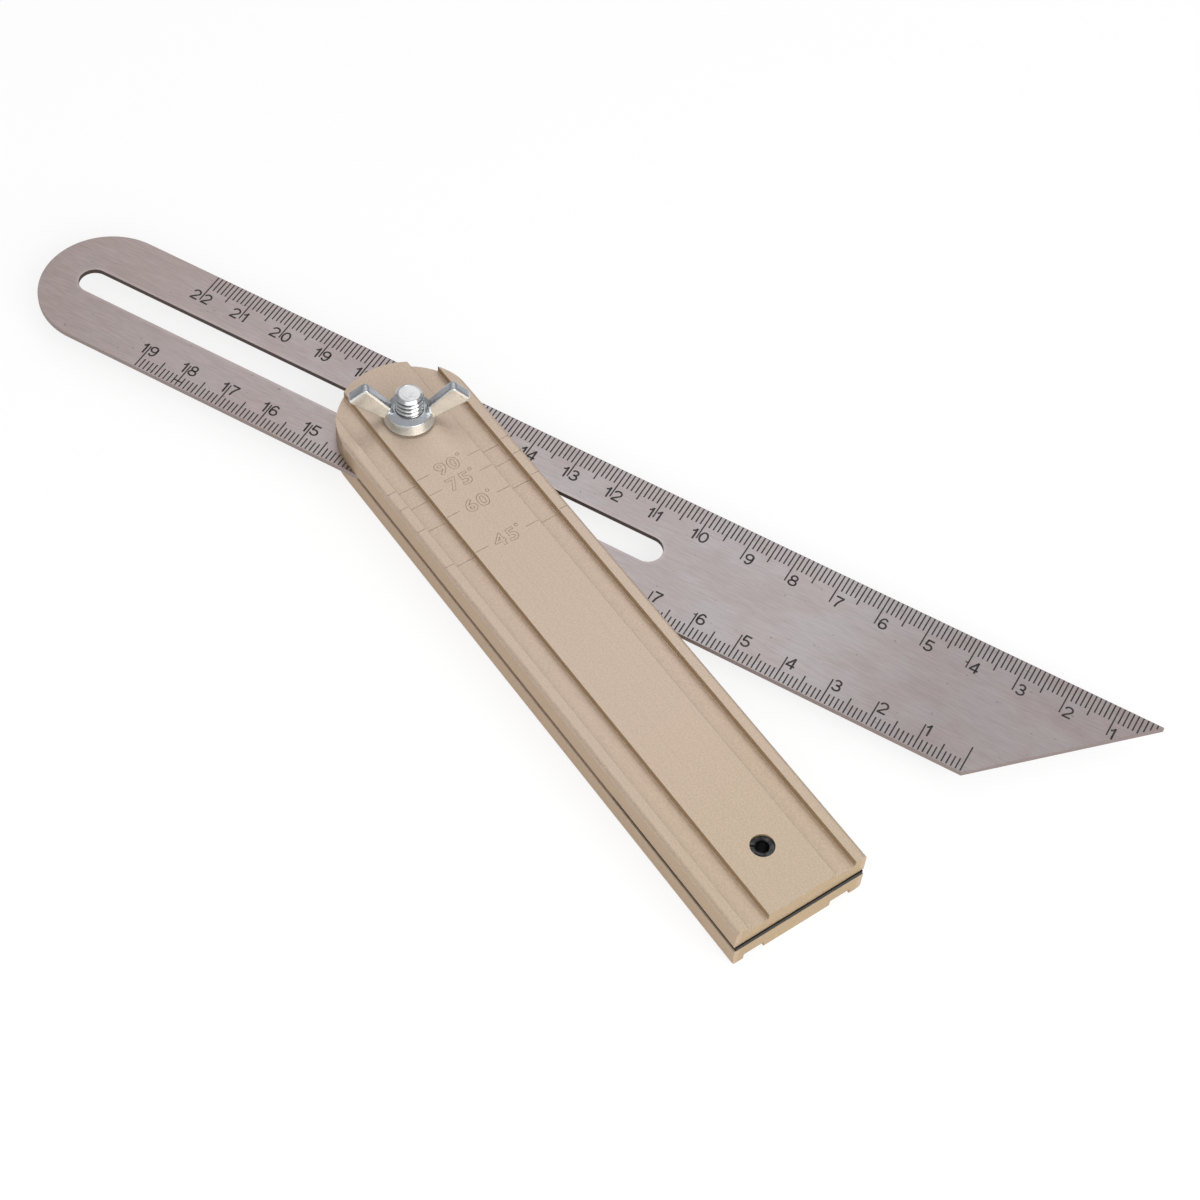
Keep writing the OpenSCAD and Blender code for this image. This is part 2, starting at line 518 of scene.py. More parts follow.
@dataclass(frozen=True)
class ZincPlate:
    """Bright zinc over a cast or rolled surface, with painted light and shade between its level and
    upright faces and, when it has a thread, painted shade in the thread's roots.
    """

    name: str
    colour: Colour = (0.70, 0.71, 0.72)
    # painted light and shade: upright faces get this colour, level faces the colour above
    upright: Colour = (0.72, 0.72, 0.72)
    roughness: float = 0.15
    pit_cells: float = 900
    pit_depth: float = 0.006 * MM
    metallic: float = 1.0
    thread: tuple[float, float, float] | None = None
    # painted shade: the share of the colour left in the thread's roots
    root_share: float = 0.15
    pit_strength: float = 0.4
    cloud_cells: float = 260
    dulling: float = 0.15
    pit_darkening: float = 0.3

    def roots(self, graph: Graph, root: float, crest: float, top: float) -> Signal:
        """Gives the painted shade in the thread's roots.

        Args:
            graph: The material's nodes.
            root: The radius where the thread is darkest.
            crest: The radius where it is unshaded.
            top: The height where the thread ends.

        Returns:
            What the colour is multiplied by.
        """
        along, across, height = graph.axes()
        unshaded = (along * along + across * across).root().rise(root, crest)
        unshaded = unshaded.at_least(height.rise(top - 0.1 * MM, top))
        return unshaded * (1 - self.root_share) + self.root_share

    def material(self) -> bpy.types.Material:
        """Builds the material."""
        graph = Graph(self.name)
        pits = graph.cloud((self.pit_cells,) * 3, 0, 3)
        cloudy = graph.cloud((self.cloud_cells,) * 3, 0, 3)
        # painted light and shade: level and upright faces get different colours
        base = graph.blend(graph.wall(), self.colour, self.upright)
        dull = graph.tone(base, 1 - cloudy.rise(0.35, 0.7) * self.dulling)
        colour = graph.tone(dull, 1 - pits.rise(0.62, 0.74) * self.pit_darkening)
        # painted shade in the thread's roots
        if self.thread:
            colour = graph.tone(colour, self.roots(graph, *self.thread))
        rough = pits * 0.6 + cloudy * 0.4
        return graph.finish(
            {
                "Base Color": colour,
                "Metallic": self.metallic,
                "Roughness": self.roughness + (cloudy - 0.4) * 0.12 + pits * 0.06,
                "Normal": graph.relief(rough, self.pit_strength, self.pit_depth),
            }
        )


@dataclass(frozen=True)
class DarkMetal:
    """Dark steel, or the filled etching of a scale."""

    name: str
    colour: Colour
    metallic: float
    roughness: float
    wear: float = 0.3
    cells: float = 700

    def material(self) -> bpy.types.Material:
        """Builds the material."""
        graph = Graph(self.name)
        rubbed = graph.cloud((self.cells,) * 3, 0, 3)
        light = Graph.shade(self.colour, 1 + 2 * self.wear)
        dark = Graph.shade(self.colour, 1 - self.wear)
        return graph.finish(
            {
                "Base Color": graph.blend(rubbed.rise(0.3, 0.7), dark, light),
                "Metallic": self.metallic,
                "Roughness": self.roughness + (rubbed - 0.5) * 0.2,
                "Normal": graph.relief(rubbed, 0.2, 0.02 * MM),
            }
        )


class Bench:
    """The hand steps that every piece is modelled with."""

    @staticmethod
    def clear() -> None:
        """Deselects everything."""
        bpy.ops.object.select_all(action="DESELECT")

    @staticmethod
    def take(piece: bpy.types.Object) -> None:
        """Makes one piece the only one selected."""
        Bench.clear()
        piece.select_set(True)
        bpy.context.view_layer.objects.active = piece

    @staticmethod
    def keep(name: str) -> bpy.types.Object:
        """Names the object just added and settles its place into its mesh.

        Args:
            name: The piece's name.

        Returns:
            The piece.
        """
        piece = bpy.context.object
        piece.name = name
        piece.data.name = name
        Bench.take(piece)
        bpy.ops.object.transform_apply(location=True, rotation=True, scale=True)
        return piece

    @staticmethod
    def block(name: str, low: Point, high: Point) -> bpy.types.Object:
        """Adds a block between two corners.

        Args:
            name: The piece's name.
            low: The lowest corner.
            high: The highest corner.

        Returns:
            The block.
        """
        middle = [(a + b) / 2 for a, b in zip(low, high)]
        size = [b - a for a, b in zip(low, high)]
        Bench.clear()
        bpy.ops.mesh.primitive_cube_add(size=1, location=middle, scale=size)
        return Bench.keep(name)

    @staticmethod
    def rod(
        name: str, radius: float, low: float, high: float, at: float = 0.0, sides: int = 96
    ) -> bpy.types.Object:
        """Adds an upright rod.

        Args:
            name: The piece's name.
            radius: The rod's radius.
            low: Its lower end.
            high: Its upper end.
            at: Its place along X.
            sides: How many sides it has.

        Returns:
            The rod.
        """
        Bench.clear()
        bpy.ops.mesh.primitive_cylinder_add(
            vertices=sides, radius=radius, depth=high - low, location=(at, 0, (low + high) / 2)
        )
        return Bench.keep(name)

    @staticmethod
    @contextmanager
    def opened(piece: bpy.types.Object) -> Iterator[None]:
        """Holds a piece in edit mode.

        Args:
            piece: The piece to edit.
        """
        Bench.take(piece)
        bpy.ops.object.mode_set(mode="EDIT")
        yield
        bpy.ops.object.mode_set(mode="OBJECT")

    @staticmethod
    def pick(
        piece: bpy.types.Object, kind: Pick, test: Callable[[Sequence[Vector]], bool]
    ) -> None:
        """Selects the parts of an open piece whose corners pass a test.

        Args:
            piece: The piece in edit mode.
            kind: Points, edges or faces.
            test: Says yes or no to a part's corners.
        """
        bpy.ops.mesh.select_mode(type=kind.value)
        bpy.ops.mesh.select_all(action="DESELECT")
        mesh = bmesh.from_edit_mesh(piece.data)
        parts = {Pick.POINTS: mesh.verts, Pick.EDGES: mesh.edges, Pick.FACES: mesh.faces}[kind]
        for part in parts:
            corners = [part.co] if kind is Pick.POINTS else [point.co for point in part.verts]
            if test(corners):
                part.select_set(True)
        mesh.select_flush_mode()
        bmesh.update_edit_mesh(piece.data)

    @staticmethod
    def step(rise: float) -> None:
        """Raises or lowers the picked faces by an upright wall.

        Extruding makes the same wall, but lists its faces in another order in each run.

        Args:
            rise: How far up, or down when it is below zero.
        """
        bpy.ops.mesh.inset(thickness=0)
        bpy.ops.transform.translate(value=(0, 0, rise))

    @staticmethod
    def modify(piece: bpy.types.Object, kind: str, **settings: Any) -> None:
        """Adds a modifier and applies it.

        Args:
            piece: The piece.
            kind: The modifier's type.
            settings: The modifier's options.
        """
        Bench.take(piece)
        step = piece.modifiers.new(kind.title(), kind)
        for option, value in settings.items():
            setattr(step, option, value)
        bpy.ops.object.modifier_apply(modifier=step.name)

    @staticmethod
    def carve(piece: bpy.types.Object, tool: bpy.types.Object, how: str = "DIFFERENCE") -> None:
        """Cuts, joins or crosses a piece with a tool, and puts the tool away.

        Args:
            piece: The piece.
            tool: The second shape.
            how: The modifier's operation.
        """
        Bench.modify(piece, "BOOLEAN", object=tool, operation=how, solver="EXACT")
        bpy.data.objects.remove(tool)

    @staticmethod
    def soften(piece: bpy.types.Object, width: float, angle: float = 38, rounds: int = 2) -> None:
        """Breaks the sharp outward edges of a piece and shades its curves smooth.

        Args:
            piece: The piece.
            width: The width of the broken edges.
            angle: The smallest angle in degrees of an edge that is broken.
            rounds: The number of facets on each edge.
        """
        with Bench.opened(piece):
            bpy.ops.mesh.select_all(action="SELECT")
            bpy.ops.mesh.remove_doubles(threshold=0.002 * MM)
            bpy.ops.mesh.dissolve_limited(angle_limit=math.radians(0.4))
            mesh = bmesh.from_edit_mesh(piece.data)
            weight = mesh.edges.layers.float.new("bevel_weight_edge")
            for edge in mesh.edges:
                outward = edge.is_manifold and edge.calc_face_angle_signed() > math.radians(angle)
                edge[weight] = 1.0 if outward else 0.0
            bmesh.update_edit_mesh(piece.data)
        Bench.modify(
            piece, "BEVEL", width=width, segments=rounds, limit_method="WEIGHT"
        )
        Bench.smooth(piece)
        Bench.modify(piece, "WEIGHTED_NORMAL", keep_sharp=True, weight=60)

    @staticmethod
    def smooth(piece: bpy.types.Object, angle: float = 32) -> None:
        """Shades a piece smooth where its faces meet at less than an angle in degrees."""
        Bench.take(piece)
        bpy.ops.object.shade_smooth_by_angle(angle=math.radians(angle))

    @staticmethod
    def tongue(
        name: str, radius: float, low: float, high: float, start: float, end: float
    ) -> bpy.types.Object:
        """Makes a flat bar with one round end.

        Args:
            name: The piece's name.
            radius: Half the bar's width.
            low: Its lower face.
            high: Its upper face.
            start: The centre of the round end, along X.
            end: The square end, along X.

        Returns:
            The bar.
        """
        piece = Bench.rod(name, radius, low, high, start, 160)
        with Bench.opened(piece):
            bpy.ops.mesh.select_all(action="SELECT")
            forward = 1 if end > start else -1
            bpy.ops.mesh.bisect(
                plane_co=(start, 0, 0), plane_no=(forward, 0, 0), clear_outer=True
            )
            Bench.pick(piece, Pick.EDGES, lambda ends: all(abs(p.x - start) < NEAR for p in ends))
            bpy.ops.mesh.extrude_region_move(
                TRANSFORM_OT_translate={"value": (end - start, 0, 0)}
            )
            bpy.ops.mesh.edge_face_add()
            bpy.ops.mesh.select_all(action="SELECT")
            bpy.ops.mesh.normals_make_consistent(inside=False)
        return piece

    @staticmethod
    def oblong(
        name: str, radius: float, low: float, high: float, start: float, end: float
    ) -> bpy.types.Object:
        """Makes a bar with two round ends.

        Args:
            name: The piece's name.
            radius: Half the bar's width.
            low: Its lower face.
            high: Its upper face.
            start: The centre of the first end, along X.
            end: The centre of the second end, along X.

        Returns:
            The bar.
        """
        piece = Bench.rod(name, radius, low, high, start, 96)
        with Bench.opened(piece):
            bpy.ops.mesh.select_all(action="SELECT")
            bpy.ops.mesh.bisect(plane_co=(start, 0, 0), plane_no=(1, 0, 0))
            Bench.pick(piece, Pick.FACES, lambda ends: all(p.x > start - NEAR for p in ends))
            bpy.ops.mesh.extrude_region_move(
                TRANSFORM_OT_translate={"value": (end - start, 0, 0)}
            )
        return piece

    @staticmethod
    def settle(piece: bpy.types.Object, turn: float = 0.0, lift: float = 0.0) -> bpy.types.Object:
        """Turns a piece about the pivot and lifts it, with its place kept in its mesh.

        Args:
            piece: The piece.
            turn: The turn about Z in degrees.
            lift: The height in metres.

        Returns:
            The same piece.
        """
        piece.rotation_euler.z = math.radians(turn)
        piece.location.z = lift
        Bench.take(piece)
        bpy.ops.object.transform_apply(location=True, rotation=True, scale=True)
        return piece

    @staticmethod
    def join(name: str, pieces: Sequence[bpy.types.Object]) -> bpy.types.Object:
        """Makes one object of several.

        Args:
            name: The joined piece's name.
            pieces: The pieces.

        Returns:
            The joined piece.
        """
        Bench.take(pieces[0])
        for piece in pieces:
            piece.select_set(True)
        bpy.ops.object.join()
        return Bench.keep(name)

    @staticmethod
    def copy(piece: bpy.types.Object, move: Point) -> bpy.types.Object:
        """Copies a piece with its own mesh.

        Args:
            piece: The piece.
            move: How far the copy moves.

        Returns:
            The copy.
        """
        twin = piece.copy()
        twin.data = piece.data.copy()
        twin.data.transform(Matrix.Translation(move))
        bpy.context.scene.collection.objects.link(twin)
        return twin

    @staticmethod
    def repeat(piece: bpy.types.Object, count: int, step: float) -> None:
        """Repeats a piece in a row.

        Args:
            piece: The piece.
            count: How many there are in all.
            step: The distance along X from one to the next.
        """
        Bench.modify(
            piece,
            "ARRAY",
            count=count,
            use_relative_offset=False,
            use_constant_offset=True,
            constant_offset_displace=(step, 0, 0),
        )

    @staticmethod
    def dress(
        piece: bpy.types.Object,
        body: Body,
        slot: str,
        material: bpy.types.Material,
        stands_for: Sequence[str] = (),
    ) -> None:
        """Gives a piece its material and its body, and hides the CAD nodes that it replaces.

        Args:
            piece: The piece.
            body: What it moves with.
            slot: The record's material slot, which is not used.
            material: Its finish.
            stands_for: The CAD nodes that it replaces.
        """
        piece.data.materials.clear()
        piece.data.materials.append(material)
        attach(piece, body.value)
        if stands_for:
            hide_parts(*stands_for)
        log.info("%s rides on %s with %d faces", piece.name, body.value, len(piece.data.polygons))


@dataclass(frozen=True)
class Arc:
    """A round stretch of a figure's stroke, in shares of the figure's height."""

    middle: tuple[float, float]
    radii: tuple[float, float]
    start: float
    end: float

    def points(self) -> list[tuple[float, float]]:
        """Gives the points along the arc."""
        steps = max(2, round(abs(self.end - self.start) / 12))
        turns = [
            math.radians(self.start + (self.end - self.start) * step / steps)
            for step in range(steps + 1)
        ]
        return [
            (
                self.middle[0] + self.radii[0] * math.cos(turn),
                self.middle[1] + self.radii[1] * math.sin(turn),
            )
            for turn in turns
        ]


Stroke = list[Arc | tuple[float, float]]

FIGURE_BREADTH = 1.1
FIGURE_FLATNESS = 0.04
OUTLINE_SIZE = 1.38
OUTLINE_SPACING = 1.2
OUTLINE_WEIGHT = 0.035

FIGURES: dict[str, list[Stroke]] = {
    "0": [[Arc((0.32, 0.5), (0.255, 0.435), 0, 360)]],
    "1": [[(0.28, 0), (0.28, 1)], [(0.03, 0.70), (0.15, 0.76), (0.27, 0.91)]],
    "2": [
        [Arc((0.32, 0.68), (0.245, 0.255), 172, -28), (0.09, 0.12)],
        [(0.03, 0.065), (0.6, 0.065)],
    ],
    "3": [
        [Arc((0.3, 0.715), (0.21, 0.22), 160, -90)],
        [(0.22, 0.51), Arc((0.31, 0.29), (0.25, 0.225), 85, -160)],
    ],
    "4": [[(0.45, 0), (0.45, 1)], [(0.44, 0.95), (0.06, 0.30)], [(0, 0.265), (0.62, 0.265)]],
    "5": [
        [(0.57, 0.935), (0.13, 0.935)],
        [(0.17, 0.98), (0.1, 0.5)],
        [(0.1, 0.5), Arc((0.31, 0.315), (0.255, 0.25), 130, -160)],
    ],
    "6": [
        [Arc((0.33, 0.31), (0.245, 0.245), 0, 360)],
        [Arc((0.335, 0.49), (0.25, 0.445), 42, 215)],
    ],
    "7": [[(0.04, 0.935), (0.61, 0.935)], [(0.58, 0.92), (0.42, 0.66), (0.3, 0.36), (0.25, 0)]],
    "8": [
        [Arc((0.32, 0.725), (0.205, 0.21), 0, 360)],
        [Arc((0.32, 0.29), (0.255, 0.225), 0, 360)],
    ],
    "9": [
        [Arc((0.31, 0.69), (0.245, 0.245), 0, 360)],
        [Arc((0.305, 0.51), (0.25, 0.445), 222, 395)],
    ],
}


class Lettering:
    """Plain figures, drawn as strokes or as hollow outlines."""

    @staticmethod
    def drawn(
        name: str, strokes: Sequence[Stroke], height: float, stroke: float
    ) -> bpy.types.Object:
        """Draws strokes as flat bands from the origin.

        Args:
            name: The mesh's name.
            strokes: The middle lines, in shares of the height.
            height: The height.
            stroke: The width of the bands.

        Returns:
            The bands' mesh, pressed nearly flat.
        """
        curve = bpy.data.curves.new(name, "CURVE")
        curve.dimensions = "3D"
        curve.bevel_depth = stroke / 2
        curve.bevel_resolution = 1
        curve.use_fill_caps = True
        for parts in strokes:
            points = []
            for part in parts:
                points += part.points() if isinstance(part, Arc) else [part]
            line = curve.splines.new("POLY")
            line.points.add(len(points) - 1)
            for point, (along, up) in zip(line.points, points):
                point.co = (FIGURE_BREADTH * along * height, up * height, 0, 1)
        Bench.clear()
        piece = bpy.data.objects.new(name, curve)
        bpy.context.scene.collection.objects.link(piece)
        Bench.take(piece)
        bpy.ops.object.convert(target="MESH")
        piece = Bench.keep(name)
        piece.data.transform(Matrix.Diagonal((1, 1, FIGURE_FLATNESS, 1)))
        return piece

    @staticmethod
    def outline(body: str, size: tuple[float, float], stroke: float) -> bpy.types.Object:
        """Makes hollow figures as fine raised lines, centred on the origin.

        Args:
            body: The figures.
            size: Their width and height.
            stroke: The thickness of the lines.

        Returns:
            The lines' mesh.
        """
        Bench.clear()
        bpy.ops.object.text_add()
        words = bpy.context.object
        words.data.body = body
        words.data.size = OUTLINE_SIZE * size[1]
        words.data.space_character = OUTLINE_SPACING
        words.data.offset = -OUTLINE_WEIGHT * size[1]
        bpy.ops.object.convert(target="CURVE")
        curve = bpy.context.object.data
        curve.dimensions = "3D"
        curve.fill_mode = "FULL"
        curve.bevel_depth = stroke / 2
        curve.bevel_resolution = 0
        curve.resolution_u = 5
        bpy.ops.object.convert(target="MESH")
        piece = Bench.keep(f"outline_{body[:2]}")
        points = [vertex.co for vertex in piece.data.vertices]
        middle_x = (min(p.x for p in points) + max(p.x for p in points)) / 2
        middle_y = (min(p.y for p in points) + max(p.y for p in points)) / 2
        wide = max(p.x for p in points) - min(p.x for p in points)
        high = max(p.y for p in points) - min(p.y for p in points)
        scale = Matrix.Diagonal((size[0] / wide, size[1] / high, 1, 1))
        piece.data.transform(scale @ Matrix.Translation((-middle_x, -middle_y, 0)))
        return piece

    @staticmethod
    def width(piece: bpy.types.Object) -> float:
        """Gives how far a figure reaches from the origin."""
        return max(vertex.co.x for vertex in piece.data.vertices)


@dataclass
class Handle:
    """The two aluminium halves with their marks, the spacer and the spring pin."""

    half_width: float = 15 * MM
    reach: float = 132.4 * MM
    thickness: float = 5 * MM
    gap: float = 1.3 * MM
    plateau_edge: float = 7.7 * MM
    channel_edge: float = 12.4 * MM
    channel_depth: float = 1.5 * MM
    edge_radius: float = 0.9 * MM
    foot_radius: float = 0.12 * MM
    broken_edge: float = 0.12 * MM
    turn: float = -25.65
    upper_short: float = 0.25 * MM
    spacer_length: float = 38.8 * MM
    spacer_inset: float = 0.3 * MM
    pin_at: float = 119.9 * MM
    pin_radius: float = 2.4 * MM
    pin_wall: float = 1 * MM
    pin_slit: float = 0.4 * MM
    pin_sink: float = 0.5 * MM
    bolt_bore: float = 3.05 * MM
    shoulder_bore: float = 4.05 * MM
    head_bore: float = 6.2 * MM
    head_depth: float = 2.4 * MM
    mark_width: float = 0.11 * MM
    mark_rise: float = 0.012 * MM
    mark_depth: float = 0.1 * MM
    mark_shift: float = -0.4 * MM
    figure_size: tuple[float, float] = (5.3 * MM, 3.25 * MM)
    figure_shift: float = -0.37 * MM
    degree_at: float = 3.03 * MM
    degree_radius: float = 0.33 * MM
    angles: tuple[int, ...] = (90, 75, 60, 45)
    line_inset: float = 0.2 * MM
    line_from: float = 4.5 * MM
    pin_play: float = 0.02 * MM
    pin_edge: float = 0.22 * MM
    slit_turn: float = 50
    spacer_edge: float = 0.08 * MM

    def channel(self, side: int) -> bpy.types.Object:
        """Makes the cutter of one channel, with its foot edges rounded.

        Args:
            side: 1 or -1, for the side of the plateau.

        Returns:
            The cutter.
        """
        floor = self.thickness - self.channel_depth
        ends = sorted((side * self.plateau_edge, side * self.channel_edge))
        low = (-self.half_width - 2 * SPARE, ends[0], floor)
        high = (self.reach + SPARE, ends[1], self.thickness + SPARE)
        tool = Bench.block("channel_cutter", low, high)
        with Bench.opened(tool):
            Bench.pick(
                tool,
                Pick.EDGES,
                lambda ends: all(abs(p.z - floor) < NEAR for p in ends)
                and abs(ends[0].x - ends[1].x) > self.half_width,
            )
            bpy.ops.mesh.bevel(offset=self.foot_radius, segments=3, affect="EDGES")
        return tool

    def half(self, name: str, short: float = 0.0) -> bpy.types.Object:
        """Models one half on its flat side, without its bores.

        Args:
            name: The piece's name.
            short: How far its square end stands back.

        Returns:
            The half, along X from the pivot.
        """
        low = (-self.half_width - SPARE, -self.half_width, 0)
        high = (self.reach - short, self.half_width, self.thickness)
        bar = Bench.block(name, low, high)
        with Bench.opened(bar):
            Bench.pick(
                bar,
                Pick.EDGES,
                lambda ends: all(p.z > self.thickness - NEAR for p in ends)
                and abs(ends[0].x - ends[1].x) > self.half_width,
            )
            bpy.ops.mesh.bevel(offset=self.edge_radius, segments=6, affect="EDGES")
        for side in (-1, 1):
            Bench.carve(bar, self.channel(side))
        plan = Bench.tongue(
            "plan", self.half_width, -SPARE, self.thickness + SPARE, 0, self.reach + SPARE
        )
        Bench.carve(bar, plan, "INTERSECT")
        self.bore(bar, self.pin_radius + self.pin_play, -SPARE, self.thickness + SPARE, self.pin_at)
        return bar

    @staticmethod
    def bore(
        piece: bpy.types.Object, radius: float, low: float, high: float, at: float = 0.0
    ) -> None:
        """Drills a piece.

        Args:
            piece: The piece.
            radius: The bore's radius.
            low: Its lower end.
            high: Its upper end.
            at: Its place along X.
        """
        Bench.carve(piece, Bench.rod("drill", radius, low, high, at))

    def upper(self, material: bpy.types.Material) -> None:
        """Models the upper half."""
        piece = self.half("upper_half", self.upper_short)
        self.bore(piece, self.bolt_bore, -SPARE, self.thickness + SPARE)
        Bench.soften(piece, self.broken_edge)
        Bench.settle(piece, self.turn, self.thickness + self.gap)
        Bench.dress(piece, Body.HANDLE, "anodised_handle", material, ["handle_upper_half"])

    def lower(self, material: bpy.types.Material) -> None:
        """Models the lower half, with the counterbore of the bolt's head."""
        piece = self.half("lower_half")
        top = self.thickness + SPARE
        self.bore(piece, self.shoulder_bore, -SPARE, top)
        self.bore(piece, self.head_bore, self.thickness - self.head_depth, top)
        piece.scale.z = -1
        Bench.settle(piece)
        with Bench.opened(piece):
            bpy.ops.mesh.select_all(action="SELECT")
            bpy.ops.mesh.normals_make_consistent(inside=False)
        Bench.soften(piece, self.broken_edge)
        Bench.settle(piece, self.turn, self.thickness)
        Bench.dress(piece, Body.HANDLE, "anodised_handle", material, ["handle_lower_half"])

    def spacer(self, material: bpy.types.Material) -> None:
        """Models the steel plate between the halves."""
        side = self.half_width - self.spacer_inset
        low = (self.reach - self.spacer_length, -side, self.thickness)
        high = (self.reach, side, self.thickness + self.gap)
        piece = Bench.block("spacer_steel", low, high)
        self.bore(piece, self.pin_radius + self.pin_play, -SPARE, 4 * self.thickness, self.pin_at)
        Bench.soften(piece, self.spacer_edge)
        Bench.settle(piece, self.turn)
        Bench.dress(piece, Body.HANDLE, "dark_steel", material, ["spacer_plate"])

    def pin(self, material: bpy.types.Material) -> None:
        """Models the rolled spring pin."""
        top = 2 * self.thickness + self.gap - self.pin_sink
        piece = Bench.rod("roll_pin", self.pin_radius, self.pin_sink, top, self.pin_at, 64)
        self.bore(piece, self.pin_radius - self.pin_wall, -SPARE, top + SPARE, self.pin_at)
        low = (-2 * self.pin_radius, -self.pin_slit / 2, -SPARE)
        high = (0, self.pin_slit / 2, top + SPARE)
        slit = Bench.block("slit", low, high)
        turned = Matrix.Rotation(math.radians(self.slit_turn), 4, "Z")
        slit.data.transform(Matrix.Translation((self.pin_at, 0, 0)) @ turned)
        Bench.carve(piece, slit)
        Bench.soften(piece, self.pin_edge)
        Bench.settle(piece, self.turn)
        Bench.dress(piece, Body.HANDLE, "black_spring_steel", material, ["spring_pin"])

    def line(self, at: float, low: float, high: float, floor: float) -> bpy.types.Object:
        """Makes one scribed line across the handle.

        Args:
            at: Its distance from the pivot.
            low: Its first end across the handle.
            high: Its second end.
            floor: The height of the face that it is on.

        Returns:
            The line.
        """
        start = (at - self.mark_width / 2, low, floor - self.mark_depth)
        end = (at + self.mark_width / 2, high, floor + self.mark_rise)
        return Bench.block("angle_line", start, end)

    def degree(self, at: float, floor: float) -> bpy.types.Object:
        """Makes the small ring of a degree sign.

        Args:
            at: Its distance from the pivot.
            floor: The height of the face that it is on.

        Returns:
            The ring.
        """
        Bench.clear()
        bpy.ops.mesh.primitive_torus_add(
            location=(at, self.degree_at, floor),
            major_radius=self.degree_radius,
            minor_radius=self.mark_width / 2,
            major_segments=20,
            minor_segments=6,
        )
        return Bench.keep("degree_ring")

    def marks(self, material: bpy.types.Material) -> None:
        """Models the angle lines and their hollow figures on the upper half."""
        top = 2 * self.thickness + self.gap
        sunk = top - self.channel_depth
        inner = self.channel_edge + self.line_inset
        outer = self.half_width - 0.6 * self.edge_radius
        foot = self.plateau_edge + self.foot_radius
        wall = self.channel_edge - self.foot_radius
        pieces = []
        for angle in self.angles:
            turn = math.radians(angle)
            at = self.half_width * (1 + math.cos(turn)) / math.sin(turn) + self.mark_shift
            for side in (-1, 1):
                spans = (
                    (inner, outer, top),
                    (foot, wall, sunk),
                    (self.line_from, self.plateau_edge - self.line_inset, top),
                )
                for near, far, floor in spans:
                    ends = sorted((side * near, side * far))
                    pieces.append(self.line(at, ends[0], ends[1], floor))
            words = Lettering.outline(str(angle), self.figure_size, self.mark_width)
            quarter = Matrix.Rotation(math.pi / 2, 4, "Z")
            words.data.transform(Matrix.Translation((at, self.figure_shift, top)) @ quarter)
            pieces.append(words)
            pieces.append(self.degree(at - self.figure_size[1] / 2 + self.degree_radius / 2, top))
        piece = Bench.join("angle_marks", pieces)
        Bench.settle(piece, self.turn)
        Bench.dress(piece, Body.HANDLE, "anodised_handle", material)


